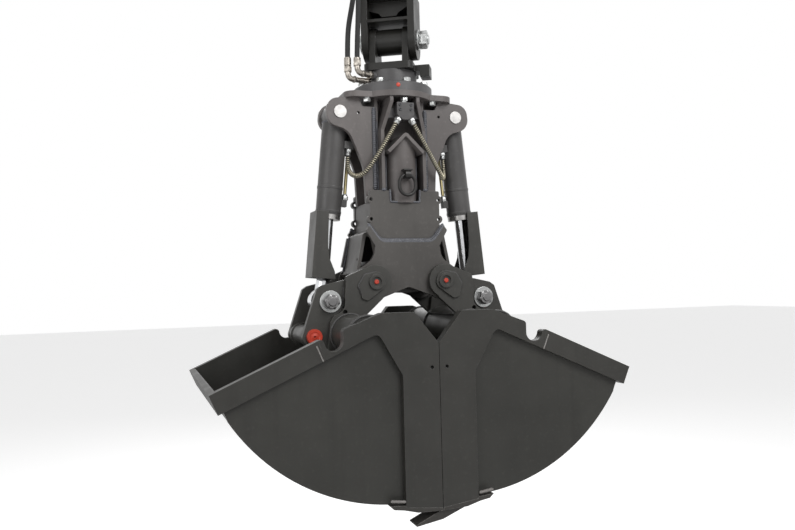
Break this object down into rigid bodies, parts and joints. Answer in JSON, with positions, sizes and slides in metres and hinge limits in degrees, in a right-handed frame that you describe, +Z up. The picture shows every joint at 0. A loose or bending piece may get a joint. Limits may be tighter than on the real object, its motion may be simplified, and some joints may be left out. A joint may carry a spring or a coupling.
{
  "type": "hydraulic clamshell bucket",
  "caption": "Hydraulic clamshell bucket hanging from a swivel head: box mast, waisted cross plates, outer cylinders with rod guards and hooked-on shells.",
  "frame": {"origin": "centre of the hanger's upper bore, the point the bucket hangs from", "axes": "+Z up; X along the closed bucket from the left shell to the right; +Y across it towards the side away from the front lifting ring; the hanger and swivel head stand turned 30 degrees about Z"},
  "size_m": [1.4, 0.752, 1.9055],
  "materials": {
    "dark_paint": "satin anthracite two-pack paint, slightly dusty",
    "knife_steel": "painted wear steel with bright edges",
    "chrome_rod": "polished hard chrome",
    "zinc_steel": "bright zinc plating, dull at the edges",
    "yellow_zinc": "yellow passivated zinc",
    "pin_steel": "turned steel, oiled",
    "bronze": "turned bronze",
    "block_steel": "satin black coat",
    "cap_plastic": "orange-red moulded plastic",
    "hose_guard": "yellow passivated spring guard over a black hose",
    "hose_rubber": "black braided hydraulic hose cover"
  },
  "bodies": {
    "hanger": {"hanger_fork": "dark_paint", "hanger_pin": "zinc_steel"},
    "swivel_head": {"swivel_head": "dark_paint", "rotator_housing": "dark_paint", "hose_elbows": "zinc_steel", "feed_hose_outer": "hose_rubber", "feed_hose_inner": "hose_rubber", "feed_couplings": "zinc_steel"},
    "frame": {"rotor_flange": "dark_paint", "top_plate": "dark_paint", "mast_box": "dark_paint", "left_ear_plates": "dark_paint", "right_ear_plates": "dark_paint", "guard_tube": "dark_paint", "ring_lug": "dark_paint", "front_cross_plate": "dark_paint", "rear_cross_plate": "dark_paint", "side_webs": "dark_paint", "hub_tubes": "dark_paint", "hub_bushes": "bronze", "cylinder_pins": "pin_steel", "manifold_block": "block_steel", "left_guarded_hose": "hose_guard", "right_guarded_hose": "hose_guard"},
    "shackle": {"shackle_ring": "zinc_steel"},
    "left_shell": {"left_shell_sides": "dark_paint", "left_wrapper": "dark_paint", "left_rim_frame": "dark_paint", "left_cheek_plates": "dark_paint", "left_knife": "knife_steel", "left_cross_tube": "dark_paint", "left_lever_body": "dark_paint", "left_lever_arms": "dark_paint", "left_rod_bolt": "zinc_steel", "left_shell_pin": "pin_steel", "left_pin_caps": "cap_plastic", "left_hub_pin": "dark_paint"},
    "left_cylinder": {"left_cylinder_barrel": "dark_paint", "left_cylinder_gland": "pin_steel", "left_oil_pipe": "yellow_zinc"},
    "left_rod": {"left_piston_rod": "chrome_rod", "left_rod_guard": "dark_paint"},
    "right_shell": {"right_shell_sides": "dark_paint", "right_wrapper": "dark_paint", "right_rim_frame": "dark_paint", "right_cheek_plates": "dark_paint", "right_knife": "knife_steel", "right_cross_tube": "dark_paint", "right_lever_body": "dark_paint", "right_lever_arms": "dark_paint", "right_rod_bolt": "zinc_steel", "right_shell_pin": "pin_steel", "right_pin_caps": "cap_plastic", "right_hub_pin": "dark_paint"},
    "right_cylinder": {"right_cylinder_barrel": "dark_paint", "right_cylinder_gland": "pin_steel", "right_oil_pipe": "yellow_zinc"},
    "right_rod": {"right_piston_rod": "chrome_rod", "right_rod_guard": "dark_paint"}
  },
  "joints": [
    {"name": "hanger_swing", "type": "hinge", "parent": "hanger", "child": "swivel_head", "pos_m": [0, 0, -0.23], "axis": [0.866, -0.5, 0], "range_deg": [-25, 25]},
    {"name": "swivel_turn", "type": "hinge", "parent": "swivel_head", "child": "frame", "pos_m": [0, 0, -0.395], "axis": [0, 0, 1], "continuous": true},
    {"name": "ring_swing", "type": "hinge", "parent": "frame", "child": "shackle", "pos_m": [0, -0.132, -0.729], "axis": [-1, 0, 0], "range_deg": [0, 80]},
    {"name": "left_shell_swing", "type": "hinge", "parent": "frame", "child": "left_shell", "pos_m": [-0.126, 0, -1.095], "axis": [0, 1, 0], "range_deg": [0, 50]},
    {"name": "left_cylinder_tilt", "type": "hinge", "parent": "frame", "child": "left_cylinder", "pos_m": [-0.215, 0, -0.507], "axis": [0, 1, 0], "range_deg": [0, 1.82], "deforming": ["left_guarded_hose"]},
    {"name": "left_rod_slide", "type": "slide", "parent": "left_cylinder", "child": "left_rod", "axis": [0.098, 0, 0.9952], "range_m": [0, 0.13956]},
    {"name": "right_shell_swing", "type": "hinge", "parent": "frame", "child": "right_shell", "pos_m": [0.126, 0, -1.095], "axis": [0, -1, 0], "range_deg": [0, 50]},
    {"name": "right_cylinder_tilt", "type": "hinge", "parent": "frame", "child": "right_cylinder", "pos_m": [0.215, 0, -0.507], "axis": [0, -1, 0], "range_deg": [0, 1.82], "deforming": ["right_guarded_hose"]},
    {"name": "right_rod_slide", "type": "slide", "parent": "right_cylinder", "child": "right_rod", "axis": [-0.098, 0, 0.9952], "range_m": [0, 0.13956]}
  ],
  "couplings": [
    {"joint": "right_shell_swing", "follows": "left_shell_swing", "ratio": 1},
    {"joint": "left_cylinder_tilt", "follows": "left_shell_swing", "ratio": 0.036},
    {"joint": "left_rod_slide", "follows": "left_shell_swing", "m_per_rad": 0.1597},
    {"joint": "right_cylinder_tilt", "follows": "left_shell_swing", "ratio": 0.036},
    {"joint": "right_rod_slide", "follows": "left_shell_swing", "m_per_rad": 0.1597}
  ]
}
